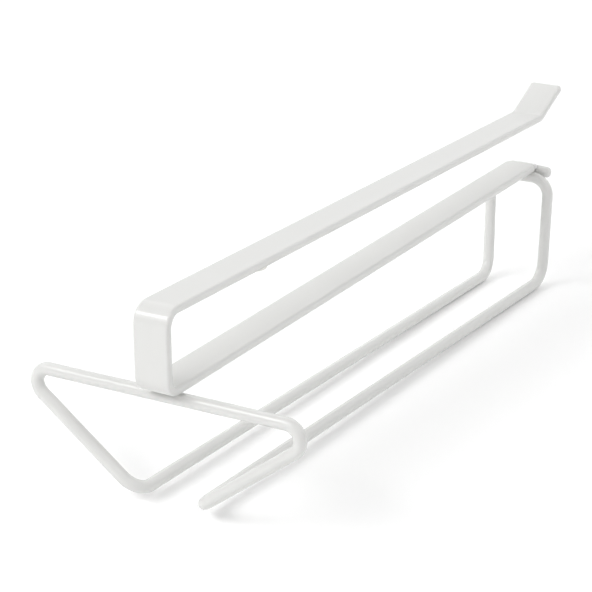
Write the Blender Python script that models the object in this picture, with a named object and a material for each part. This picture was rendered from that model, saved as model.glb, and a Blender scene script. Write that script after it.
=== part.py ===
"""Clip-on under-shelf rack: a flat steel spring clip that grips a shelf board, with a bent wire
loop welded below it whose two rails carry what hangs or slides in between them.

Frame: +X right, +Y from the clip's front web into the shelf, +Z up. The origin is on the
underside of the upper arm, at the middle of its length, on the centre line: the face that lies
on the shelf. Units are metres.
"""

import math

import bpy
import bmesh
from mathutils import Vector

MM = 0.001

# Clip: one flat bar bent into a hairpin. Heights are above the bottom face of its front bend,
# depths are behind the front face of its web.
BAR_WIDTH = 15.2 * MM
BAR_THICKNESS = 3.25 * MM
BAR_EDGE_RADIUS = 1.1 * MM
CLIP_HEIGHT = 34.5 * MM
UPPER_ARM_LENGTH = 312.5 * MM
UPPER_ARM_DROP = 3.0 * MM
TIP_LENGTH = 23.2 * MM
TIP_ANGLE = math.radians(25.5)
LOWER_ARM_LENGTH = 309.0 * MM
LOWER_ARM_RISE = 5.5 * MM
TOP_BEND_RADIUS = 6.2 * MM
BOTTOM_BEND_RADIUS = 5.0 * MM
TIP_BEND_RADIUS = 5.5 * MM
REAR_CORNER_RADIUS = 4.0 * MM
TIP_CORNER_RADIUS = 1.2 * MM

# Wire loop: one round wire. It is welded a little left of the clip's centre line, and its ends
# lap side by side: the right one under the rear end of the lower arm, the left one behind it. The
# left one slopes: its corner is higher than its free end.
WIRE_DIAMETER = 5.0 * MM
LOOP_OFFSET = -1.4 * MM
LOOP_DEPTH = 9.8 * MM
CROSS_WIRE_HALF = 69.2 * MM
RAIL_HALF = 13.2 * MM
RAIL_HEIGHT_FRONT = -44.8 * MM
RAIL_HEIGHT_REAR = -47.8 * MM
RAIL_END_DEPTH = 306.5 * MM
RAIL_END_STAGGER = 2.0 * MM
UPRIGHT_TOP_HALF = 16.0 * MM
RIGHT_LAP_DEPTH = 306.6 * MM
LEFT_LAP_DEPTH = 312.0 * MM
LEFT_LAP_LIFT = 1.5 * MM
LEFT_LAP_RISE = 1.9 * MM
RIGHT_LAP_END = -10.0 * MM
LEFT_LAP_END = 11.2 * MM
SHOULDER_RADIUS = 5.8 * MM
RAIL_FRONT_RADIUS = 8.3 * MM
RAIL_REAR_RADIUS = 8.7 * MM
RIGHT_LAP_RADIUS = 8.0 * MM
LEFT_LAP_RADIUS = 15.0 * MM

# Bumper under the upper arm, and the weld beads.
PAD_DEPTH = 69.7 * MM
PAD_DIAMETER = 11.0 * MM
PAD_HEIGHT = 2.3 * MM
PAD_RIM_RADIUS = 1.7 * MM
PAD_TOP_CHAMFER = 0.3 * MM
WELD_LENGTH = 9.0 * MM
END_WELD_LENGTH = 13.0 * MM
WELD_LEG = 1.8 * MM

# Touching pieces keep a small gap, and round shapes are cut into this many steps.
GAP = 0.3 * MM
ARC_STEP = math.radians(12)
WIRE_SIDES = 16
WIRE_END_STEPS = 3
EDGE_STEPS = 3
TIP_CORNER_STEPS = 2
REAR_CORNER_STEPS = 5
PAD_SIDES = 32
PAD_RIM_STEPS = 5
SHARP_ANGLE = math.radians(35)

WIRE_RADIUS = WIRE_DIAMETER / 2
WIRE_END_ROUNDING = 0.7 * WIRE_RADIUS
BAR_MIDDLE = BAR_THICKNESS / 2
UPPER_ARM_PITCH = math.atan(UPPER_ARM_DROP / (UPPER_ARM_LENGTH - BAR_MIDDLE))
LOWER_ARM_PITCH = math.atan(LOWER_ARM_RISE / (LOWER_ARM_LENGTH - BAR_MIDDLE))


def upper_arm_underside(depth):
    """Height of the upper arm's lower face, a straight line between its bends."""
    middle = CLIP_HEIGHT - BAR_MIDDLE - (depth - BAR_MIDDLE) * math.tan(UPPER_ARM_PITCH)
    return middle - BAR_MIDDLE / math.cos(UPPER_ARM_PITCH)


def lower_arm_underside(depth):
    """Height of the lower arm's lower face, which rises towards the rear."""
    middle = BAR_MIDDLE + (depth - BAR_MIDDLE) * math.tan(LOWER_ARM_PITCH)
    return middle - BAR_MIDDLE / math.cos(LOWER_ARM_PITCH)


ORIGIN_DEPTH = UPPER_ARM_LENGTH / 2
ORIGIN_HEIGHT = upper_arm_underside(ORIGIN_DEPTH)


def at(x, depth, height):
    """A point in the part's frame, from a depth behind the web and a height above the clip."""
    return Vector((x, depth - ORIGIN_DEPTH, height - ORIGIN_HEIGHT))


def clear_scene():
    for obj in list(bpy.data.objects):
        bpy.data.objects.remove(obj, do_unlink=True)


def coated_material(name, colour, roughness):
    material = bpy.data.materials.new(name)
    material.use_nodes = True
    shader = material.node_tree.nodes["Principled BSDF"]
    shader.inputs["Base Color"].default_value = (*colour, 1.0)
    shader.inputs["Roughness"].default_value = roughness
    shader.inputs["Metallic"].default_value = 0.0
    return material


def round_corners(corners, radii):
    """The polyline through the corners, each inner one replaced by a tangent arc."""
    path = [corners[0].copy()]
    for before, corner, after, radius in zip(corners, corners[1:], corners[2:], radii):
        to_before = (before - corner).normalized()
        to_after = (after - corner).normalized()
        half = to_before.angle(to_after) / 2
        middle = (to_before + to_after).normalized()
        centre = corner + middle * (radius / math.sin(half))
        first = corner + to_before * (radius / math.tan(half)) - centre
        last = corner + to_after * (radius / math.tan(half)) - centre
        turn = first.angle(last)
        steps = max(2, math.ceil(turn / ARC_STEP))
        for step in range(steps + 1):
            part = step / steps
            blend = first * math.sin((1 - part) * turn) + last * math.sin(part * turn)
            path.append(centre + blend / math.sin(turn))
    path.append(corners[-1].copy())
    return path


def tangents(path):
    directions = []
    for index, point in enumerate(path):
        before = path[max(index - 1, 0)]
        after = path[min(index + 1, len(path) - 1)]
        incoming = (point - before).normalized() if point != before else Vector()
        outgoing = (after - point).normalized() if after != point else Vector()
        directions.append((incoming + outgoing).normalized())
    return directions


def skin(name, rings, material):
    """One closed body through rings of points, with a flat face over each end."""
    mesh = bpy.data.meshes.new(name)
    body = bmesh.new()
    loops = [[body.verts.new(point) for point in ring] for ring in rings]
    for near, far in zip(loops, loops[1:]):
        for index, corner in enumerate(near):
            following = (index + 1) % len(near)
            body.faces.new((corner, near[following], far[following], far[index]))
    body.faces.new(reversed(loops[0]))
    body.faces.new(loops[-1])
    bmesh.ops.recalc_face_normals(body, faces=body.faces)
    body.to_mesh(mesh)
    body.free()
    mesh.materials.append(material)
    mesh.shade_smooth()
    mesh.set_sharp_from_angle(angle=SHARP_ANGLE)
    obj = bpy.data.objects.new(name, mesh)
    bpy.context.scene.collection.objects.link(obj)
    return obj


def bar_section(half_width):
    """The bar's cross-section, flat faces with rounded edges, as (across, through) pairs."""
    flat_x = half_width - BAR_EDGE_RADIUS
    flat_n = BAR_MIDDLE - BAR_EDGE_RADIUS
    section = []
    for quarter, (side_x, side_n) in enumerate(((1, 1), (-1, 1), (-1, -1), (1, -1))):
        for step in range(EDGE_STEPS + 1):
            angle = math.radians(90 * (quarter + step / EDGE_STEPS))
            section.append((side_x * flat_x + BAR_EDGE_RADIUS * math.cos(angle),
                            side_n * flat_n + BAR_EDGE_RADIUS * math.sin(angle)))
    return section


def end_widths(corner_radius, steps):
    """Distances from a bar end and half-widths there, for plan corners of a given radius."""
    half = BAR_WIDTH / 2
    rows = []
    for step in range(steps + 1):
        angle = math.radians(90) * step / steps
        rows.append((corner_radius * (1 - math.sin(angle)), half - corner_radius * (1 - math.cos(angle))))
    return list(reversed(rows))


def make_clip_bar(material):
    arm_end = at(0, UPPER_ARM_LENGTH, CLIP_HEIGHT - BAR_MIDDLE - UPPER_ARM_DROP)
    tip = arm_end + Vector((0, math.cos(TIP_ANGLE), math.sin(TIP_ANGLE))) * TIP_LENGTH
    top_corner = at(0, BAR_MIDDLE, CLIP_HEIGHT - BAR_MIDDLE)
    bottom_corner = at(0, BAR_MIDDLE, BAR_MIDDLE)
    lower_end = at(0, LOWER_ARM_LENGTH, BAR_MIDDLE + LOWER_ARM_RISE)
    corners = [tip, arm_end, top_corner, bottom_corner, lower_end]
    path = round_corners(corners, [TIP_BEND_RADIUS, TOP_BEND_RADIUS, BOTTOM_BEND_RADIUS])
    stations = [(point, BAR_WIDTH / 2) for point in path[1:-1]]
    for end, neighbour, radius, steps, front in (
            (path[0], path[1], TIP_CORNER_RADIUS, TIP_CORNER_STEPS, True),
            (path[-1], path[-2], REAR_CORNER_RADIUS, REAR_CORNER_STEPS, False)):
        inward = (neighbour - end).normalized()
        rows = [(end + inward * distance, half) for distance, half in end_widths(radius, steps)]
        stations = rows + stations if front else stations + list(reversed(rows))
    centres = [point for point, _ in stations]
    across = Vector((1, 0, 0))
    rings = []
    for (point, half_width), along in zip(stations, tangents(centres)):
        through = along.cross(across)
        rings.append([point + across * x + through * n for x, n in bar_section(half_width)])
    return skin("clip_bar", rings, material)


def wire_rings(path):
    """Rings of the round wire along a path, with the rim of each cut end rounded."""
    directions = tangents(path)
    side = directions[0].orthogonal().normalized()
    frames = []
    for along in directions:
        side = (side - along * side.dot(along)).normalized()
        frames.append((side, along.cross(side)))
    stations = [(point, WIRE_RADIUS, frame) for point, frame in zip(path, frames)]
    for end, outward, frame, front in ((path[0], -directions[0], frames[0], True),
                                       (path[-1], directions[-1], frames[-1], False)):
        rows = []
        for step in range(1, WIRE_END_STEPS + 1):
            angle = math.radians(90) * step / WIRE_END_STEPS
            rows.append((end + outward * WIRE_END_ROUNDING * math.sin(angle),
                         WIRE_RADIUS - WIRE_END_ROUNDING * (1 - math.cos(angle)), frame))
        stations = list(reversed(rows)) + stations if front else stations + rows
    rings = []
    for point, size, (first, second) in stations:
        angles = [math.tau * index / WIRE_SIDES for index in range(WIRE_SIDES)]
        rings.append([point + (first * math.cos(a) + second * math.sin(a)) * size for a in angles])
    return rings


def lap_centres(x):
    """Depth and height of the two lapped ends at x: the right wire's, then the left wire's."""
    under = lower_arm_underside(RIGHT_LAP_DEPTH) - WIRE_RADIUS - GAP
    slope = LEFT_LAP_RISE / (LEFT_LAP_END - LOOP_OFFSET + UPRIGHT_TOP_HALF)
    lift = LEFT_LAP_LIFT + (LEFT_LAP_END - x) * slope
    return (RIGHT_LAP_DEPTH, under), (LEFT_LAP_DEPTH, under + lift)


def make_wire_loop(material):
    left_corner = LOOP_OFFSET - UPRIGHT_TOP_HALF
    right_lap = lap_centres(RIGHT_LAP_END)[0]
    cross_height = -WIRE_RADIUS - GAP
    left_half = [
        at(LEFT_LAP_END, *lap_centres(LEFT_LAP_END)[1]),
        at(left_corner, *lap_centres(left_corner)[1]),
        at(LOOP_OFFSET - RAIL_HALF, RAIL_END_DEPTH - RAIL_END_STAGGER, RAIL_HEIGHT_REAR),
        at(LOOP_OFFSET - RAIL_HALF, LOOP_DEPTH, RAIL_HEIGHT_FRONT),
        at(LOOP_OFFSET - CROSS_WIRE_HALF, LOOP_DEPTH, cross_height),
    ]
    right_half = [
        at(LOOP_OFFSET + CROSS_WIRE_HALF, LOOP_DEPTH, cross_height),
        at(LOOP_OFFSET + RAIL_HALF, LOOP_DEPTH, RAIL_HEIGHT_FRONT),
        at(LOOP_OFFSET + RAIL_HALF, RAIL_END_DEPTH + RAIL_END_STAGGER, RAIL_HEIGHT_REAR),
        at(LOOP_OFFSET + UPRIGHT_TOP_HALF, *right_lap),
        at(RIGHT_LAP_END, *right_lap),
    ]
    bends = [RAIL_REAR_RADIUS, RAIL_FRONT_RADIUS, SHOULDER_RADIUS]
    radii = [LEFT_LAP_RADIUS] + bends + bends[::-1] + [RIGHT_LAP_RADIUS]
    path = round_corners(left_half + right_half, radii)
    return skin("wire_loop", wire_rings(path), material)


# Share of half the bead's length, and the size of its section there.
BEAD_TAPER = ((-1, 0.35), (-0.86, 0.8), (-0.55, 1.0), (0.55, 1.0), (0.86, 0.8), (1, 0.35))


def bead(name, section, length, material):
    """A short weld bead across the bar: the section, drawn in towards both ends."""
    centre = (sum(p[0] for p in section) / len(section), sum(p[1] for p in section) / len(section))
    rings = []
    for share, scale in BEAD_TAPER:
        x = share * length / 2
        rings.append([at(x, centre[0] + (depth - centre[0]) * scale, centre[1] + (height - centre[1]) * scale)
                      for depth, height in section])
    return skin(name, rings, material)


def groove_section(centre, ceiling, side):
    """The fillet between a wire and the flat above it, on one side of the wire (+1 is rearwards)."""
    reach = WIRE_RADIUS + GAP
    depth, height = centre
    section = []
    for degrees in (34, 48, 62, 76):
        angle = math.radians(degrees)
        section.append((depth + side * reach * math.sin(angle), height + reach * math.cos(angle)))
    hollow_of_face = (depth + side * (reach + 0.55 * WELD_LEG), height + 0.42 * reach)
    foot = (depth + side * (reach + WELD_LEG), ceiling - GAP)
    root = (depth + side * 0.72 * reach, ceiling - GAP)
    return section + [hollow_of_face, foot, root]


def lap_section():
    """The bead in the groove below the two lapped wire ends, clear of the left one's low side."""
    (depth_a, height_a), (depth_b, height_b) = lap_centres(WELD_LENGTH / 2)
    reach = WIRE_RADIUS + GAP
    between = Vector((depth_b - depth_a, height_b - height_a))
    towards = between.normalized()
    below = Vector((towards.y, -towards.x))
    first, second = Vector((depth_a, height_a)), Vector((depth_b, height_b))
    points = []
    for degrees in (28, 42, 56, 68):
        angle = math.radians(degrees)
        points.append(first + (towards * math.cos(angle) + below * math.sin(angle)) * reach)
    points.append(first + between / 2 + below * reach)
    for degrees in (68, 56, 42, 28):
        angle = math.radians(degrees)
        points.append(second + (-towards * math.cos(angle) + below * math.sin(angle)) * reach)
    return [(point.x, point.y) for point in points]


def end_section():
    """The bead that fills the groove above the left wire, against the end of the bar."""
    depth, height = lap_centres(-WELD_LENGTH / 2)[1]
    reach = WIRE_RADIUS + GAP
    section = []
    for degrees in (20, 38, 56, 74):
        angle = math.radians(degrees)
        section.append((depth - reach * math.cos(angle), height + reach * math.sin(angle)))
    face = LOWER_ARM_LENGTH + GAP
    top = BAR_THICKNESS + LOWER_ARM_RISE
    crown = (section[-1][0] - 0.3 * WELD_LEG, section[-1][1] + 0.25 * WELD_LEG)
    return section + [crown, (face, top - GAP)]


def make_welds(material):
    cross_centre = (LOOP_DEPTH, -WIRE_RADIUS - GAP)
    right_lap = lap_centres(0.0)[0]
    nearest = RIGHT_LAP_DEPTH - WIRE_RADIUS - GAP - WELD_LEG
    under_arm = groove_section(right_lap, lower_arm_underside(nearest), -1)
    bead("front_weld", groove_section(cross_centre, 0.0, 1), WELD_LENGTH, material)
    bead("rear_weld", under_arm, WELD_LENGTH, material)
    bead("lap_weld", lap_section(), WELD_LENGTH, material)
    bead("end_weld", end_section(), END_WELD_LENGTH, material)


def make_grip_pad(material):
    """A round bumper, its flat top against the upper arm and its lower rim rounded."""
    radius = PAD_DIAMETER / 2
    profile = [(radius - PAD_TOP_CHAMFER, 0.0), (radius, PAD_TOP_CHAMFER)]
    for step in range(PAD_RIM_STEPS + 1):
        angle = math.radians(90) * step / PAD_RIM_STEPS
        profile.append((radius - PAD_RIM_RADIUS * (1 - math.cos(angle)),
                        PAD_HEIGHT - PAD_RIM_RADIUS * (1 - math.sin(angle))))
    along = Vector((0, math.cos(UPPER_ARM_PITCH), -math.sin(UPPER_ARM_PITCH)))
    down = Vector((0, -math.sin(UPPER_ARM_PITCH), -math.cos(UPPER_ARM_PITCH)))
    across = Vector((1, 0, 0))
    seat = at(0, PAD_DEPTH, upper_arm_underside(PAD_DEPTH)) + down * GAP
    turns = [math.tau * index / PAD_SIDES for index in range(PAD_SIDES)]
    spokes = [across * math.cos(turn) + along * math.sin(turn) for turn in turns]
    rings = [[seat + down * drop + spoke * size for spoke in spokes] for size, drop in profile]
    return skin("grip_pad", rings, material)


def main():
    clear_scene()
    coat = coated_material("white_powder_coat", (0.80, 0.81, 0.78), 0.35)
    rubber = coated_material("white_bumper", (0.74, 0.74, 0.71), 0.5)
    make_clip_bar(coat)
    make_wire_loop(coat)
    make_welds(coat)
    make_grip_pad(rubber)


main()
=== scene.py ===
# %% [markdown]
# # A clip-on under-shelf rack
# One flat steel bar is bent into a long hairpin that slides over a shelf board. One round steel wire
# is bent into a loop and welded below it, and a small bumper under the upper arm takes up the play.
# The whole weldment is powder coated white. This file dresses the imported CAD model: it builds fine
# meshes for the same pieces, gives them real finishes, and sets a stage, soft lights and a camera.

# %% Load the frame
import math

import bmesh
import bpy
from mathutils import Matrix, Vector


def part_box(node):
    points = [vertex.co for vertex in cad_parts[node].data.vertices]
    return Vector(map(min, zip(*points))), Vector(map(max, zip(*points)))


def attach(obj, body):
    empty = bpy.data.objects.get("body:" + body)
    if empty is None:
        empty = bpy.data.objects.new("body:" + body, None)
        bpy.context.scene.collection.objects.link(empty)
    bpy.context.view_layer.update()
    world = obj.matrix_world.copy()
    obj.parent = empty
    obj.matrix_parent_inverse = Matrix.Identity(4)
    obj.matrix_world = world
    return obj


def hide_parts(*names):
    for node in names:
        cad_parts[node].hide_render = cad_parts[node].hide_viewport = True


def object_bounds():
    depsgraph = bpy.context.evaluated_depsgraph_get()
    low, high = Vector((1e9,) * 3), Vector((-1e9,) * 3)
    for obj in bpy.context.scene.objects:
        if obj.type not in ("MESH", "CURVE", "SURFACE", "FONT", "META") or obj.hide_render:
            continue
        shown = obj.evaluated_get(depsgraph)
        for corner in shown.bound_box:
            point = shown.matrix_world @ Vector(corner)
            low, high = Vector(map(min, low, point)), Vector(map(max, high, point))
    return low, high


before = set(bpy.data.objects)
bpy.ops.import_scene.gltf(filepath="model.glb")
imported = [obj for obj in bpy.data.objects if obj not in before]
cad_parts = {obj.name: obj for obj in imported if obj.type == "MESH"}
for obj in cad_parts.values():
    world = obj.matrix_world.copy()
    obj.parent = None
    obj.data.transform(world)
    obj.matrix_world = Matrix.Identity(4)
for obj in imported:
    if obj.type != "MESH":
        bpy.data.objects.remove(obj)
cad_low, cad_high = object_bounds()
MM = 0.001
print("CAD nodes:", ", ".join(sorted(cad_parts)))

# %% [markdown]
# ## Where things are
# The frame holds where the pieces are. The clip's box gives the front of its web, the bottom of its
# front bend and the width of the bar, and the bumper's box gives the bumper's place and size. What a
# box can't say, such as a length, a slope or a bend radius, is a named value here. As on a drawing,
# depths count from the web's front face and heights from the clip's bottom face.

# %% Places from the frame
clip_low, clip_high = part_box("clip_bar")
pad_low, pad_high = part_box("grip_pad")
BAR_WIDTH = clip_high.x - clip_low.x
BAR_THICKNESS = 3.25 * MM
WIRE_RADIUS = 2.5 * MM
WELD_GAP = 0.3 * MM


def at(x, depth, height):
    """A point in the frame, from a depth behind the web's face and a height above the clip."""
    return Vector((x, clip_low.y + depth, clip_low.z + height))


print(f"bar {BAR_WIDTH / MM:.1f} mm wide, wire {2 * WIRE_RADIUS / MM:.1f} mm thick")

# %% [markdown]
# ## Two helpers for node trees
# Shaders and geometry trees are both made of nodes, so one function adds a node to either: it takes
# the node's settings by name, and for each input a plain value or the socket that feeds it. The
# second runs a geometry tree on a start mesh and keeps only the plain result. A modifier's inputs
# are set by the socket's identifier, because the name shown in the panel isn't the key.

# %% Node helpers
SOFTEN_PASSES = 6
SOFTEN_FACTOR = 0.5


def add_node(tree, kind, inputs=None, **settings):
    node = tree.nodes.new(kind)
    for name, value in settings.items():
        setattr(node, name, value)
    for name, value in (inputs or {}).items():
        if isinstance(value, bpy.types.NodeSocket):
            tree.links.new(value, node.inputs[name])
        else:
            node.inputs[name].default_value = value
    return node


def start_tree(name, sizes):
    """A geometry tree with a named input for each size; returns it with its group input node."""
    tree = bpy.data.node_groups.new(name, "GeometryNodeTree")
    tree.interface.new_socket("Geometry", in_out="INPUT", socket_type="NodeSocketGeometry")
    tree.interface.new_socket("Geometry", in_out="OUTPUT", socket_type="NodeSocketGeometry")
    for size, kind in sizes.items():
        tree.interface.new_socket(size, in_out="INPUT", socket_type="NodeSocket" + kind)
    return tree, tree.nodes.new("NodeGroupInput")


def end_tree(tree, geometry):
    """Shades the result smooth, makes its copies real, gives it a material slot and ends the tree."""
    given = next(node for node in tree.nodes if node.bl_idname == "NodeGroupInput")
    smooth = add_node(tree, "GeometryNodeSetShadeSmooth", {"Geometry": geometry})
    real = add_node(tree, "GeometryNodeRealizeInstances", {"Geometry": smooth.outputs[0]})
    finish = add_node(tree, "GeometryNodeSetMaterial",
                      {"Geometry": real.outputs[0], "Material": given.outputs["Finish"]})
    add_node(tree, "NodeGroupOutput", {"Geometry": finish.outputs[0]})


def run_tree(name, start, tree, values, fuse=None):
    """The plain mesh object that the tree makes of a start mesh, fused by voxels if asked."""
    source = bpy.data.objects.new(name + "_source", start)
    bpy.context.scene.collection.objects.link(source)
    modifier = source.modifiers.new("Tree", "NODES")
    modifier.node_group = tree
    for item in tree.interface.items_tree:
        if item.name in values:
            modifier[item.identifier] = values[item.name]
    if fuse:
        fusing = source.modifiers.new("Fuse", "REMESH")
        fusing.mode = "VOXEL"
        fusing.voxel_size = fuse
        fusing.use_smooth_shade = True
        soften = source.modifiers.new("Soften", "SMOOTH")
        soften.iterations = SOFTEN_PASSES
        soften.factor = SOFTEN_FACTOR
    bpy.context.view_layer.update()
    evaluated = source.evaluated_get(bpy.context.evaluated_depsgraph_get())
    mesh = bpy.data.meshes.new_from_object(evaluated)
    bpy.data.objects.remove(source, do_unlink=True)
    mesh.name = name
    finished = bpy.data.objects.new(name, mesh)
    bpy.context.scene.collection.objects.link(finished)
    print(f"{name}: {len(mesh.polygons)} faces")
    return finished


# %% [markdown]
# ## Colours
# A colour is picked as an sRGB hex value, as in any paint chart, but shaders calculate in linear
# light. One function turns the first into the second.

# %% Colour helper
def linear(hex_colour):
    channels = [int(hex_colour[place:place + 2], 16) / 255 for place in (0, 2, 4)]
    return [c / 12.92 if c <= 0.04045 else ((c + 0.055) / 1.055) ** 2.4 for c in channels] + [1.0]


# %% [markdown]
# ## The finish of the steel: gloss white powder coat
# Polyester powder is sprayed on dry, clings by its charge, and is melted to a skin about 0.08 mm
# thick. The melt never levels quite flat: it keeps a soft swell with a wavelength of 2 to 3 mm,
# called orange peel, which breaks the edge of every reflection a little. The gloss itself drifts
# over a few millimetres, and a few dust grains are caught as tiny nibs. The resin's refractive
# index is about 1.5, and it isn't a metal although steel is below it.

# %% Powder coat material
ORANGE_PEEL = 2.4 * MM
PEEL_HEIGHT = 0.008 * MM
HAZE = 5.0 * MM
NIB_SPACING = 11.0 * MM
NIB_RADIUS = 0.28 * MM
FILM_CLOUD = 35.0 * MM
COAT_TINTS = ("D6D6D4", "D9D9D7")
COAT_ROUGHNESS = (0.10, 0.15)
COAT_IOR = 1.5


def powder_coat(name):
    material = bpy.data.materials.new(name)
    material.use_nodes = True
    tree = material.node_tree
    shader = tree.nodes["Principled BSDF"]
    place = add_node(tree, "ShaderNodeTexCoord").outputs["Object"]

    cloud = add_node(tree, "ShaderNodeTexNoise", {"Vector": place, "Scale": 1 / FILM_CLOUD, "Detail": 2.0})
    tint = add_node(tree, "ShaderNodeValToRGB", {"Fac": cloud.outputs["Fac"]})
    tint.color_ramp.elements[0].color = linear(COAT_TINTS[0])
    tint.color_ramp.elements[1].color = linear(COAT_TINTS[1])

    haze = add_node(tree, "ShaderNodeTexNoise", {"Vector": place, "Scale": 1 / HAZE, "Detail": 2.0})
    gloss = add_node(tree, "ShaderNodeMapRange",
                     {"Value": haze.outputs["Fac"], "To Min": COAT_ROUGHNESS[0],
                      "To Max": COAT_ROUGHNESS[1]})

    peel = add_node(tree, "ShaderNodeTexNoise",
                    {"Vector": place, "Scale": 1 / ORANGE_PEEL, "Detail": 1.0, "Roughness": 0.4})
    swell = add_node(tree, "ShaderNodeBump",
                     {"Height": peel.outputs["Fac"], "Distance": PEEL_HEIGHT, "Strength": 1.0})
    grains = add_node(tree, "ShaderNodeTexVoronoi", {"Vector": place, "Scale": 1 / NIB_SPACING})
    nib = add_node(tree, "ShaderNodeMapRange",
                   {"Value": grains.outputs["Distance"], "From Min": 0.0,
                    "From Max": NIB_RADIUS / NIB_SPACING, "To Min": 1.0, "To Max": 0.0},
                   interpolation_type="SMOOTHSTEP")
    bump = add_node(tree, "ShaderNodeBump",
                    {"Height": nib.outputs["Result"], "Distance": 2 * PEEL_HEIGHT, "Strength": 0.6,
                     "Normal": swell.outputs["Normal"]})

    tree.links.new(tint.outputs["Color"], shader.inputs["Base Color"])
    tree.links.new(gloss.outputs["Result"], shader.inputs["Roughness"])
    tree.links.new(bump.outputs["Normal"], shader.inputs["Normal"])
    shader.inputs["IOR"].default_value = COAT_IOR
    shader.inputs["Metallic"].default_value = 0.0
    print("made material", name)
    return material


COAT = powder_coat("gloss_white_powder_coat")


# %% [markdown]
# ## The finish of the bumper: moulded elastomer
# The bumper is a soft white elastomer, moulded in a satin tool. Light goes a little way into it, so
# its edges glow softly, and its surface is an even fine satin with no gloss.

# %% Bumper material
SATIN_GRAIN = 0.35 * MM
SATIN_HEIGHT = 0.01 * MM
ELASTOMER_TINTS = ("DCDCD6", "E4E4DE")
ELASTOMER_ROUGHNESS = 0.5
ELASTOMER_IOR = 1.43
ELASTOMER_DEPTHS = (1.2 * MM, 1.0 * MM, 0.9 * MM)
ELASTOMER_GLOW = 0.25


def moulded_elastomer(name):
    material = bpy.data.materials.new(name)
    material.use_nodes = True
    tree = material.node_tree
    shader = tree.nodes["Principled BSDF"]
    place = add_node(tree, "ShaderNodeTexCoord").outputs["Object"]
    grain = add_node(tree, "ShaderNodeTexNoise", {"Vector": place, "Scale": 1 / SATIN_GRAIN, "Detail": 2.0})
    bump = add_node(tree, "ShaderNodeBump",
                    {"Height": grain.outputs["Fac"], "Distance": SATIN_HEIGHT, "Strength": 1.0})
    tone = add_node(tree, "ShaderNodeValToRGB", {"Fac": grain.outputs["Fac"]})
    tone.color_ramp.elements[0].color = linear(ELASTOMER_TINTS[0])
    tone.color_ramp.elements[1].color = linear(ELASTOMER_TINTS[1])
    tree.links.new(tone.outputs["Color"], shader.inputs["Base Color"])
    tree.links.new(bump.outputs["Normal"], shader.inputs["Normal"])
    shader.inputs["Roughness"].default_value = ELASTOMER_ROUGHNESS
    shader.inputs["IOR"].default_value = ELASTOMER_IOR
    shader.inputs["Subsurface Weight"].default_value = ELASTOMER_GLOW
    shader.inputs["Subsurface Radius"].default_value = ELASTOMER_DEPTHS
    shader.inputs["Subsurface Scale"].default_value = 1.0
    print("made material", name)
    return material


ELASTOMER = moulded_elastomer("white_moulded_elastomer")


# %% [markdown]
# ## The clip: a straight blank, bent
# A maker shears a length of flat bar, rounds its corners and edges, and bends it over formers. The
# same order works here. First comes the straight blank, with every edge rounded, as rings of points
# all along its length. The rings follow the plan outline and step inwards over the edge radius, so
# the rounding runs unbroken round the corners and across both ends. A narrow extra loop beside each
# rounded edge keeps the wide faces flat in the shading.

# %% Straight bar blank
EDGE_RADIUS = 1.1 * MM
EDGE_STEPS = 6
SUPPORT = 0.12 * MM
CORNER_STEPS = 10
TIP_CORNER = 1.3 * MM
REAR_CORNER = 4.0 * MM
RING_SPACING = 0.7 * MM


def plan_outline(length, front_corner, rear_corner, spacing):
    """The blank's right-hand outline as (point, outward normal) pairs, front end to rear end."""
    outline = []
    for step in range(CORNER_STEPS + 1):
        turn = math.radians(90) * step / CORNER_STEPS
        normal = Vector((math.sin(turn), -math.cos(turn)))
        outline.append((Vector((BAR_WIDTH / 2 - front_corner, front_corner)) + normal * front_corner,
                        normal))
    start, stop = front_corner, length - rear_corner
    stations = max(2, round((stop - start) / spacing))
    for index in range(1, stations):
        outline.append((Vector((BAR_WIDTH / 2, start + (stop - start) * index / stations)), Vector((1, 0))))
    for step in range(CORNER_STEPS + 1):
        turn = math.radians(90) * step / CORNER_STEPS
        normal = Vector((math.cos(turn), math.sin(turn)))
        outline.append((Vector((BAR_WIDTH / 2 - rear_corner, length - rear_corner)) + normal * rear_corner,
                        normal))
    return outline


def edge_levels():
    """How far the outline steps in at each height through the bar, from its top to its bottom."""
    upper = [(EDGE_RADIUS + SUPPORT, BAR_THICKNESS / 2)]
    for step in range(EDGE_STEPS + 1):
        turn = math.radians(90) * (1 - step / EDGE_STEPS)
        upper.append((EDGE_RADIUS * (1 - math.cos(turn)),
                      BAR_THICKNESS / 2 - EDGE_RADIUS * (1 - math.sin(turn))))
    return upper + [(inset, -height) for inset, height in reversed(upper)]


def bar_blank(length, front_corner, rear_corner, spacing):
    blank = bmesh.new()
    levels = edge_levels()
    rings = []
    for point, normal in plan_outline(length, front_corner, rear_corner, spacing):
        places = [(point - normal * inset, height) for inset, height in levels]
        right = [blank.verts.new((place.x, place.y, height)) for place, height in places]
        left = [blank.verts.new((-place.x, place.y, height)) for place, height in places]
        rings.append((right, left))
    for (right, left), (next_right, next_left) in zip(rings, rings[1:]):
        ring, following = right + left[::-1], next_right + next_left[::-1]
        for index, corner in enumerate(ring):
            after = (index + 1) % len(ring)
            blank.faces.new((corner, following[index], following[after], ring[after]))
    for (right, left), flip in ((rings[0], False), (rings[-1], True)):
        for level in range(len(levels) - 1):
            face = (right[level], right[level + 1], left[level + 1], left[level])
            blank.faces.new(face[::-1] if flip else face)
    bmesh.ops.recalc_face_normals(blank, faces=blank.faces)
    mesh = bpy.data.meshes.new("bar_blank")
    blank.to_mesh(mesh)
    blank.free()
    return mesh


# %% [markdown]
# ## Paths with bends
# Bar and wire are both drawn as a few corners with a bend radius at each, which is how a bending
# drawing gives them. The corners go into a tiny mesh of edges that carries the radius as a point
# attribute, and the Fillet Curve node rounds each corner by its own radius.

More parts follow.
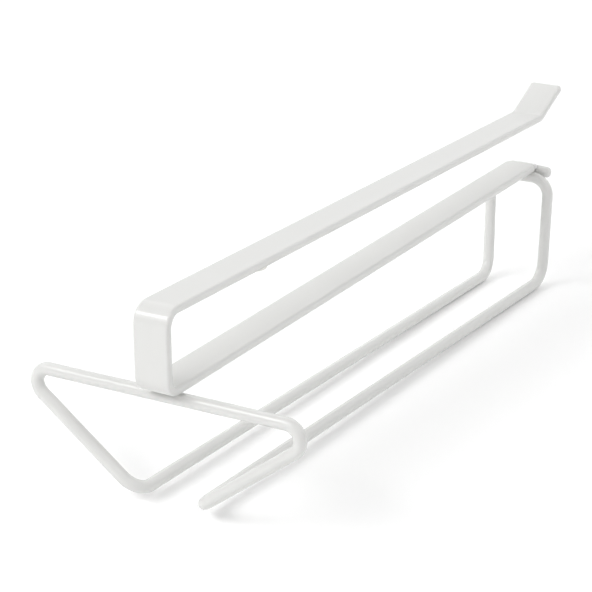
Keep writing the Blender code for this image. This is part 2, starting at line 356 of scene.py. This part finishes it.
# %% Bend paths
def bend_path(name, corners, radii):
    """A mesh of edges through the corners, each with its bend radius as an attribute."""
    mesh = bpy.data.meshes.new(name)
    mesh.from_pydata(corners, [(i, i + 1) for i in range(len(corners) - 1)], [])
    attribute = mesh.attributes.new("bend_radius", "FLOAT", "POINT")
    attribute.data.foreach_set("value", radii)
    return mesh


def bent_length(corners, radii):
    """Length along the middle of a bar or wire, round its bends."""
    length = sum((b - a).length for a, b in zip(corners, corners[1:]))
    for before, corner, after, radius in zip(corners, corners[1:], corners[2:], radii[1:]):
        turn = (corner - before).angle(after - corner)
        length += radius * turn - 2 * radius * math.tan(turn / 2)
    return length


def add_filleted_path(tree, edges, steps):
    """Nodes that turn a mesh of edges into a curve with its corners rounded; returns its socket."""
    curve = add_node(tree, "GeometryNodeMeshToCurve", {"Mesh": edges})
    radius = add_node(tree, "GeometryNodeInputNamedAttribute", {"Name": "bend_radius"}, data_type="FLOAT")
    fillet = add_node(tree, "GeometryNodeFilletCurve",
                      {"Curve": curve.outputs[0], "Radius": radius.outputs["Attribute"], "Count": steps},
                      mode="POLY")
    return fillet.outputs["Curve"]


# %% [markdown]
# ## Bending the blank
# The tree reads each point of the blank as three numbers: how far along, how far across and how far
# from the middle. Sample Curve gives the place and the direction of the path that far along, and the
# point goes there, offset across and through. Nothing stretches along the middle line, as in a real
# bend.

# %% Clip bar
CLIP_HEIGHT = 34.5 * MM
UPPER_ARM_LENGTH = 312.5 * MM
UPPER_ARM_DROP = 3.0 * MM
TIP_LENGTH = 23.2 * MM
TIP_ANGLE = math.radians(25.5)
LOWER_ARM_LENGTH = 309.0 * MM
LOWER_ARM_RISE = 5.5 * MM
BAR_MIDDLE = BAR_THICKNESS / 2
TIP_BEND = 5.5 * MM
TOP_BEND = 6.2 * MM
BOTTOM_BEND = 5.0 * MM
BEND_STEPS = 32


def clip_corners():
    arm_end = at(0, UPPER_ARM_LENGTH, CLIP_HEIGHT - BAR_MIDDLE - UPPER_ARM_DROP)
    tip = arm_end + Vector((0, math.cos(TIP_ANGLE), math.sin(TIP_ANGLE))) * TIP_LENGTH
    return [tip, arm_end, at(0, BAR_MIDDLE, CLIP_HEIGHT - BAR_MIDDLE), at(0, BAR_MIDDLE, BAR_MIDDLE),
            at(0, LOWER_ARM_LENGTH, BAR_MIDDLE + LOWER_ARM_RISE)]


def bending_tree():
    tree, given = start_tree("bend_bar", {"Path": "Object", "Bar length": "Float", "Bend steps": "Int",
                                          "Finish": "Material"})
    path = add_node(tree, "GeometryNodeObjectInfo", {"Object": given.outputs["Path"]})
    curve = add_filleted_path(tree, path.outputs["Geometry"], given.outputs["Bend steps"])
    place = add_node(tree, "GeometryNodeInputPosition")
    parts = add_node(tree, "ShaderNodeSeparateXYZ", {"Vector": place.outputs[0]})
    share = add_node(tree, "ShaderNodeMath", {0: parts.outputs["Y"], 1: given.outputs["Bar length"]},
                     operation="DIVIDE")
    sample = add_node(tree, "GeometryNodeSampleCurve", {"Curves": curve, "Factor": share.outputs[0]},
                      mode="FACTOR")
    across = add_node(tree, "ShaderNodeCombineXYZ", {"X": parts.outputs["X"]})
    square = add_node(tree, "ShaderNodeVectorMath", {0: sample.outputs["Tangent"], 1: (1.0, 0.0, 0.0)},
                      operation="CROSS_PRODUCT")
    through = add_node(tree, "ShaderNodeVectorMath",
                       {0: square.outputs["Vector"], "Scale": parts.outputs["Z"]}, operation="SCALE")
    offset = add_node(tree, "ShaderNodeVectorMath", {0: across.outputs[0], 1: through.outputs["Vector"]})
    target = add_node(tree, "ShaderNodeVectorMath",
                      {0: sample.outputs["Position"], 1: offset.outputs["Vector"]})
    bent = add_node(tree, "GeometryNodeSetPosition",
                    {"Geometry": given.outputs["Geometry"], "Position": target.outputs["Vector"]})
    end_tree(tree, bent.outputs[0])
    return tree


def make_clip():
    corners = clip_corners()
    radii = [0.0, TIP_BEND, TOP_BEND, BOTTOM_BEND, 0.0]
    guide = bpy.data.objects.new("clip_path", bend_path("clip_path", corners, radii))
    bpy.context.scene.collection.objects.link(guide)
    length = bent_length(corners, radii)
    blank = bar_blank(length, front_corner=TIP_CORNER, rear_corner=REAR_CORNER, spacing=RING_SPACING)
    clip = run_tree("steel_clip", blank, bending_tree(),
                    {"Path": guide, "Bar length": length, "Bend steps": BEND_STEPS, "Finish": COAT})
    bpy.data.objects.remove(guide, do_unlink=True)
    print(f"clip bent from {length / MM:.0f} mm of bar")
    return clip


clip = make_clip()
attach(clip, "root")
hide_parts("clip_bar")

# %% [markdown]
# ## The wire loop: a circle swept along a bent path
# The loop is one wire, from the left upright behind the clip, down, forward as the left rail, out and
# up to the shoulder, straight across below the clip, and back the same way on the right. Its two ends
# lap side by side: the end of the left upright reaches to the right, and the other way round. A tree
# rounds
# the path and sweeps a circle along it. The cut ends of coated wire are rounded, so the tree shrinks
# the circle near both ends by the rule of a quarter circle; a few extra points there carry it.

# %% Wire loop
LOOP_OFFSET = -1.4 * MM
LOOP_DEPTH = 9.8 * MM
CROSS_WIRE_HALF = 69.2 * MM
RAIL_HALF = 13.2 * MM
RAIL_HEIGHT_FRONT = -44.8 * MM
RAIL_HEIGHT_REAR = -47.8 * MM
RAIL_END_DEPTH = 306.5 * MM
RAIL_END_STAGGER = 2.0 * MM
UPRIGHT_TOP_HALF = 16.0 * MM
RIGHT_LAP_DEPTH = 306.6 * MM
LEFT_LAP_DEPTH = 312.0 * MM
LEFT_LAP_LIFT = 1.5 * MM
LEFT_LAP_RISE = 1.9 * MM
LEFT_END = 13.0 * MM
RIGHT_END = -11.8 * MM
LEFT_TOP_BEND = 15.0 * MM
RIGHT_TOP_BEND = 8.0 * MM
RAIL_REAR_BEND = 8.7 * MM
RAIL_FRONT_BEND = 8.3 * MM
SHOULDER_BEND = 5.8 * MM
WIRE_BEND_STEPS = 20
WIRE_SIDES = 40
END_ROUNDING = 2.0 * MM
END_POINTS = 8


def lower_arm_underside(depth):
    slope = LOWER_ARM_RISE / (LOWER_ARM_LENGTH - BAR_MIDDLE)
    return BAR_MIDDLE + (depth - BAR_MIDDLE) * slope - BAR_MIDDLE * math.hypot(1, slope)


def lap_places():
    """Depth and height of the right lap, under the clip's end, and of the left one behind it."""
    under = lower_arm_underside(RIGHT_LAP_DEPTH) - WIRE_RADIUS - WELD_GAP
    return (RIGHT_LAP_DEPTH, under), (LEFT_LAP_DEPTH, under + LEFT_LAP_LIFT)


def wire_corners():
    right_lap, left_lap = lap_places()
    left_corner = (left_lap[0], left_lap[1] + LEFT_LAP_RISE)
    cross_height = -WIRE_RADIUS - WELD_GAP
    left = [at(LEFT_END, *left_lap), at(LOOP_OFFSET - UPRIGHT_TOP_HALF, *left_corner),
            at(LOOP_OFFSET - RAIL_HALF, RAIL_END_DEPTH - RAIL_END_STAGGER, RAIL_HEIGHT_REAR),
            at(LOOP_OFFSET - RAIL_HALF, LOOP_DEPTH, RAIL_HEIGHT_FRONT),
            at(LOOP_OFFSET - CROSS_WIRE_HALF, LOOP_DEPTH, cross_height)]
    right = [at(LOOP_OFFSET + CROSS_WIRE_HALF, LOOP_DEPTH, cross_height),
             at(LOOP_OFFSET + RAIL_HALF, LOOP_DEPTH, RAIL_HEIGHT_FRONT),
             at(LOOP_OFFSET + RAIL_HALF, RAIL_END_DEPTH + RAIL_END_STAGGER, RAIL_HEIGHT_REAR),
             at(LOOP_OFFSET + UPRIGHT_TOP_HALF, *right_lap), at(RIGHT_END, *right_lap)]
    return left + right


def with_end_points(corners, radii):
    """The same path with points close together where its rounded ends shrink."""
    for _ in range(2):
        end, inner = corners[0], corners[1]
        inward = (inner - end).normalized()
        shares = [1 - math.cos(math.radians(90) * step / END_POINTS) for step in range(END_POINTS + 1)]
        corners = [end + inward * END_ROUNDING * share for share in shares] + corners[1:]
        radii = [0.0] * (END_POINTS + 1) + radii[1:]
        corners, radii = corners[::-1], radii[::-1]
    return corners, radii


def wire_tree():
    tree, given = start_tree("sweep_wire", {"Wire radius": "Float", "End rounding": "Float",
                                            "Bend steps": "Int", "Sides": "Int", "Finish": "Material"})
    curve = add_filleted_path(tree, given.outputs["Geometry"], given.outputs["Bend steps"])
    along = add_node(tree, "GeometryNodeSplineParameter").outputs["Length"]
    total = add_node(tree, "GeometryNodeSplineLength").outputs["Length"]
    from_end = add_node(tree, "ShaderNodeMath", {0: total, 1: along}, operation="SUBTRACT")
    nearest = add_node(tree, "ShaderNodeMath", {0: along, 1: from_end.outputs[0]}, operation="MINIMUM")
    left_over = add_node(tree, "ShaderNodeMapRange",
                         {"Value": nearest.outputs[0], "From Max": given.outputs["End rounding"],
                          "To Min": 1.0, "To Max": 0.0})
    squared = add_node(tree, "ShaderNodeMath", {0: left_over.outputs[0], 1: 2.0}, operation="POWER")
    rest = add_node(tree, "ShaderNodeMath", {0: 1.0, 1: squared.outputs[0]}, operation="SUBTRACT")
    rise = add_node(tree, "ShaderNodeMath", {0: rest.outputs[0]}, operation="SQRT")
    core = add_node(tree, "ShaderNodeMath",
                    {0: given.outputs["Wire radius"], 1: given.outputs["End rounding"]},
                    operation="SUBTRACT")
    size = add_node(tree, "ShaderNodeMath",
                    {0: rise.outputs[0], 1: given.outputs["End rounding"], 2: core.outputs[0]},
                    operation="MULTIPLY_ADD")
    circle = add_node(tree, "GeometryNodeCurvePrimitiveCircle", {"Resolution": given.outputs["Sides"],
                                                                 "Radius": 1.0})
    tube = add_node(tree, "GeometryNodeCurveToMesh",
                    {"Curve": curve, "Profile Curve": circle.outputs[0], "Scale": size.outputs[0],
                     "Fill Caps": True})
    end_tree(tree, tube.outputs[0])
    return tree


def make_wire():
    bends = [RAIL_REAR_BEND, RAIL_FRONT_BEND, SHOULDER_BEND]
    radii = [0.0, LEFT_TOP_BEND] + bends + bends[::-1] + [RIGHT_TOP_BEND, 0.0]
    corners, radii = with_end_points(wire_corners(), radii)
    print(f"loop bent from {bent_length(corners, radii) / MM:.0f} mm of wire")
    return run_tree("steel_wire_loop", bend_path("wire_path", corners, radii), wire_tree(),
                    {"Wire radius": WIRE_RADIUS, "End rounding": END_ROUNDING,
                     "Bend steps": WIRE_BEND_STEPS, "Sides": WIRE_SIDES, "Finish": COAT})


wire = make_wire()
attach(wire, "root")
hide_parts("wire_loop")

# %% [markdown]
# ## Weld beads: ripples along a groove
# Each bead is a row of frozen ripples, one for each time the welder's arc moved on. So a tree lays
# out points along the groove, puts a squashed ball on each, and varies their sizes a little with a
# fixed seed. Remeshing then melts the balls into one skin, and smoothing gives the soft look that
# powder coat leaves on a weld.

# %% Weld beads
RIPPLE_PITCH = 0.8 * MM
RIPPLE_SEED = 4
SKIN_VOXEL = 0.12 * MM
WELD_LENGTH = 9.0 * MM
END_WELD_LENGTH = 13.5 * MM
GROOVE = 0.92 * WIRE_RADIUS
FRONT_BEAD_HEIGHT = -1.0 * MM
REAR_BEAD_RISE = 1.6 * MM
LAP_BEAD_DROP = 1.0 * MM
END_BEAD_FORWARD = 2.2 * MM
END_BEAD_RISE = 2.7 * MM
SMALL_RIPPLE = (1.0 * MM, 1.3 * MM, 1.1 * MM)
LAP_RIPPLE = (1.0 * MM, 1.2 * MM, 1.0 * MM)
END_RIPPLE = (1.2 * MM, 1.6 * MM, 1.4 * MM)


def bead_tree():
    tree, given = start_tree("lay_bead", {"Ripples": "Int", "Bead length": "Float", "Ripple size": "Vector",
                                          "Seed": "Int", "Finish": "Material"})
    gaps = add_node(tree, "ShaderNodeMath", {0: given.outputs["Ripples"], 1: 1.0}, operation="SUBTRACT")
    pitch = add_node(tree, "ShaderNodeMath", {0: given.outputs["Bead length"], 1: gaps.outputs[0]},
                     operation="DIVIDE")
    step = add_node(tree, "ShaderNodeCombineXYZ", {"X": pitch.outputs[0]})
    row = add_node(tree, "GeometryNodeMeshLine", {"Count": given.outputs["Ripples"],
                                                  "Offset": step.outputs[0]})
    ball = add_node(tree, "GeometryNodeMeshIcoSphere", {"Radius": 1.0, "Subdivisions": 4})
    vary = add_node(tree, "FunctionNodeRandomValue", {2: 0.92, 3: 1.08, "Seed": given.outputs["Seed"]},
                    data_type="FLOAT")
    size = add_node(tree, "ShaderNodeVectorMath",
                    {0: given.outputs["Ripple size"], "Scale": vary.outputs[1]}, operation="SCALE")
    ripples = add_node(tree, "GeometryNodeInstanceOnPoints",
                       {"Points": row.outputs[0], "Instance": ball.outputs[0], "Scale": size.outputs[0]})
    end_tree(tree, ripples.outputs[0])
    return tree


def make_bead(name, tree, length, depth, height, ripple, seed):
    """A bead across the clip at a depth and height, of ripples with the given half-sizes."""
    run = length - 2 * ripple[0]
    seeded = bpy.data.meshes.new(name + "_start")
    bead = run_tree(name, seeded, tree, {"Ripples": 1 + round(run / RIPPLE_PITCH), "Bead length": run,
                                         "Ripple size": ripple, "Seed": seed, "Finish": COAT},
                    fuse=SKIN_VOXEL)
    bead.data.transform(Matrix.Translation(at(-run / 2, depth, height)))
    return bead


def make_welds():
    tree = bead_tree()
    (right_depth, right_height), (left_depth, left_height) = lap_places()
    middle_depth, middle_height = (right_depth + left_depth) / 2, (right_height + left_height) / 2
    beads = {
        "front_weld": (WELD_LENGTH, LOOP_DEPTH + GROOVE, FRONT_BEAD_HEIGHT, SMALL_RIPPLE),
        "rear_weld": (WELD_LENGTH, right_depth - GROOVE, right_height + REAR_BEAD_RISE, SMALL_RIPPLE),
        "lap_weld": (WELD_LENGTH, middle_depth, middle_height - LAP_BEAD_DROP, LAP_RIPPLE),
        "end_weld": (END_WELD_LENGTH, left_depth - END_BEAD_FORWARD, left_height + END_BEAD_RISE,
                     END_RIPPLE),
    }
    for number, (node, (length, depth, height, ripple)) in enumerate(beads.items()):
        bead = make_bead(node + "_bead", tree, length, depth, height, ripple, RIPPLE_SEED + number)
        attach(bead, "root")
        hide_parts(node)


make_welds()

# %% [markdown]
# ## The bumper: a turned profile
# A round moulding is one profile turned about its axis: a flat seat against the arm, a short side,
# a generous rim and a slightly crowned face. The Spin operator turns it. The profile starts at the
# axis and ends there, so both poles close when their doubled points are merged.

# %% Bumper
PAD_RIM = 1.7 * MM
PAD_CROWN = 0.25 * MM
PAD_SEAT_EDGE = 0.25 * MM
PAD_SEAT_LOOP = 0.6
PAD_RIM_STEPS = 12
PAD_FACE_STEPS = 8
PAD_TURNS = 64
UPPER_ARM_PITCH = math.atan(UPPER_ARM_DROP / (UPPER_ARM_LENGTH - BAR_MIDDLE))


def pad_profile(radius, height):
    """Points from the seat's centre, out round the rim, to the centre of the crowned face."""
    points = [(0.0, 0.0), (radius * PAD_SEAT_LOOP, 0.0), (radius - PAD_SEAT_EDGE, 0.0),
              (radius, PAD_SEAT_EDGE)]
    flat = radius - PAD_RIM
    for step in range(PAD_RIM_STEPS + 1):
        turn = math.radians(90) * step / PAD_RIM_STEPS
        points.append((flat + PAD_RIM * math.cos(turn),
                       height - PAD_CROWN - PAD_RIM * (1 - math.sin(turn))))
    for step in range(1, PAD_FACE_STEPS + 1):
        share = 1 - step / PAD_FACE_STEPS
        points.append((flat * share, height - PAD_CROWN * share ** 2))
    return points


def make_pad():
    radius = (pad_high.x - pad_low.x) / 2
    tilt = radius * math.sin(UPPER_ARM_PITCH)
    height = (pad_high.z - pad_low.z - 2 * tilt) / math.cos(UPPER_ARM_PITCH)
    turned = bmesh.new()
    row = [turned.verts.new((r, 0, -drop)) for r, drop in pad_profile(radius, height)]
    edges = [turned.edges.new(pair) for pair in zip(row, row[1:])]
    bmesh.ops.spin(turned, geom=row + edges, cent=(0, 0, 0), axis=(0, 0, 1), angle=math.tau,
                   steps=PAD_TURNS, use_merge=True)
    bmesh.ops.remove_doubles(turned, verts=turned.verts, dist=0.001 * MM)
    bmesh.ops.recalc_face_normals(turned, faces=turned.faces)
    mesh = bpy.data.meshes.new("bumper")
    turned.to_mesh(mesh)
    turned.free()
    mesh.shade_smooth()
    mesh.materials.append(ELASTOMER)
    seat = Vector((0, (pad_low.y + pad_high.y) / 2, pad_high.z - tilt))
    mesh.transform(Matrix.Translation(seat) @ Matrix.Rotation(-UPPER_ARM_PITCH, 4, "X"))
    pad = bpy.data.objects.new("bumper", mesh)
    bpy.context.scene.collection.objects.link(pad)
    print(f"bumper {2 * radius / MM:.1f} mm across, {len(mesh.polygons)} faces")
    return pad


pad = make_pad()
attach(pad, "root")
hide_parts("grip_pad")

# %% [markdown]
# ## Stage
# The rack stands on its rails on a pale matt floor. The floor is a wide disc: behind the rack a view
# from 15 degrees up or more shows only floor, and one from 10 degrees or less also shows the dim
# world above its edge. A floor this light throws soft light back up at the undersides, which white
# things need.

# %% Floor
FLOOR_RADIUS = 6.0
FLOOR_GAP = 0.05 * MM


def make_floor():
    mesh = bpy.data.meshes.new("floor")
    disc = bmesh.new()
    bmesh.ops.create_circle(disc, cap_ends=True, segments=96, radius=FLOOR_RADIUS)
    disc.to_mesh(mesh)
    disc.free()
    mesh.transform(Matrix.Translation((0, 0, cad_low.z - FLOOR_GAP)))
    material = bpy.data.materials.new("pale_matt_floor")
    material.use_nodes = True
    shader = material.node_tree.nodes["Principled BSDF"]
    shader.inputs["Base Color"].default_value = linear("FDFDFD")
    shader.inputs["Roughness"].default_value = 0.9
    shader.inputs["Specular IOR Level"].default_value = 0.2
    mesh.materials.append(material)
    floor = bpy.data.objects.new("floor", mesh)
    bpy.context.scene.collection.objects.link(floor)
    return floor


make_floor()

# %% [markdown]
# ## Light
# White on white is drawn by small differences, so the light has to differ by direction. A bright
# narrow strip at the front left is the key: it makes the highlight on the front bend and the cross
# wire. A dimmer box in nearly the same place, squarer than the strip, softens its edges. Dimmer boxes
# stand round the rack at the same distance, most of them behind it, where the top faces mirror them.
# Nothing hangs overhead and the front right stays dim, so the bar's thickness and the right sides of
# the wire read darker.

# %% Lights
BOX_DISTANCE = 3.0
WORLD_STRENGTH = 0.32
# Azimuth and elevation, then width and height as the rack sees them, all in degrees, and radiance.
SOFT_BOXES = {
    "key_strip": (-28, 39, 62, 10, 6.0),
    "key_fill": (-22, 40, 35, 36, 2.1),
    "left_box": (-67, 40, 35, 36, 0.55),
    "right_box": (67, 40, 35, 36, 1.35),
    "rear_right_box": (112, 40, 35, 36, 1.2),
    "rear_box_157": (157, 30, 40, 56, 0.8),
    "rear_box_202": (202, 30, 40, 56, 0.63),
    "rear_box_247": (247, 30, 40, 56, 0.8),
}


def soft_box(name, azimuth, elevation, wide, tall, brightness):
    """A soft box that faces the rack. All angles are in degrees, azimuth from the front to the right;
    wide and tall are the angles that the box spans, and brightness is its radiance."""
    turn, lift = math.radians(azimuth), math.radians(elevation)
    direction = Vector((math.sin(turn) * math.cos(lift), -math.cos(turn) * math.cos(lift), math.sin(lift)))
    light = bpy.data.lights.new(name, "AREA")
    light.shape = "RECTANGLE"
    light.size = 2 * BOX_DISTANCE * math.tan(math.radians(wide) / 2)
    light.size_y = 2 * BOX_DISTANCE * math.tan(math.radians(tall) / 2)
    light.energy = brightness * math.pi * light.size * light.size_y
    lamp = bpy.data.objects.new(name, light)
    lamp.location = direction * BOX_DISTANCE
    lamp.rotation_mode = "QUATERNION"
    lamp.rotation_quaternion = direction.to_track_quat("Z", "Y")
    bpy.context.scene.collection.objects.link(lamp)
    print(f"{name}: {light.size:.1f} x {light.size_y:.1f} m, {light.energy:.0f} W")


for box, settings in SOFT_BOXES.items():
    soft_box(box, *settings)

world = bpy.data.worlds.new("studio")
world.use_nodes = True
world.node_tree.nodes["Background"].inputs["Color"].default_value = linear("FFFFFF")
world.node_tree.nodes["Background"].inputs["Strength"].default_value = WORLD_STRENGTH
bpy.context.scene.world = world
bpy.context.scene.view_settings.view_transform = "Standard"

# %% [markdown]
# ## Camera
# A long lens from the front right and a little above, as in a catalogue picture: the rack's long
# rails stay nearly parallel. The aim is a point in the frame, to the left of the box's middle and
# below it; from this side that puts the rack's outline in the middle of the picture.

# %% Camera
CAMERA_AZIMUTH = math.radians(31.05)
CAMERA_ELEVATION = math.radians(20.0)
CAMERA_ROLL = math.radians(-0.43)
CAMERA_DISTANCE = 0.945
CAMERA_LENS = 133.3
CAMERA_AIM = Vector((-0.0386, 0.0088, -0.0498))


def make_camera():
    back = Vector((math.sin(CAMERA_AZIMUTH) * math.cos(CAMERA_ELEVATION),
                   -math.cos(CAMERA_AZIMUTH) * math.cos(CAMERA_ELEVATION), math.sin(CAMERA_ELEVATION)))
    data = bpy.data.cameras.new("camera")
    data.sensor_width = 36.0
    data.lens = CAMERA_LENS
    data.clip_start = 0.05
    camera = bpy.data.objects.new("camera", data)
    camera.location = CAMERA_AIM + back * CAMERA_DISTANCE
    camera.rotation_mode = "QUATERNION"
    level = back.to_track_quat("Z", "Y")
    camera.rotation_quaternion = level @ Matrix.Rotation(CAMERA_ROLL, 3, "Z").to_quaternion()
    bpy.context.scene.collection.objects.link(camera)
    bpy.context.scene.camera = camera


make_camera()
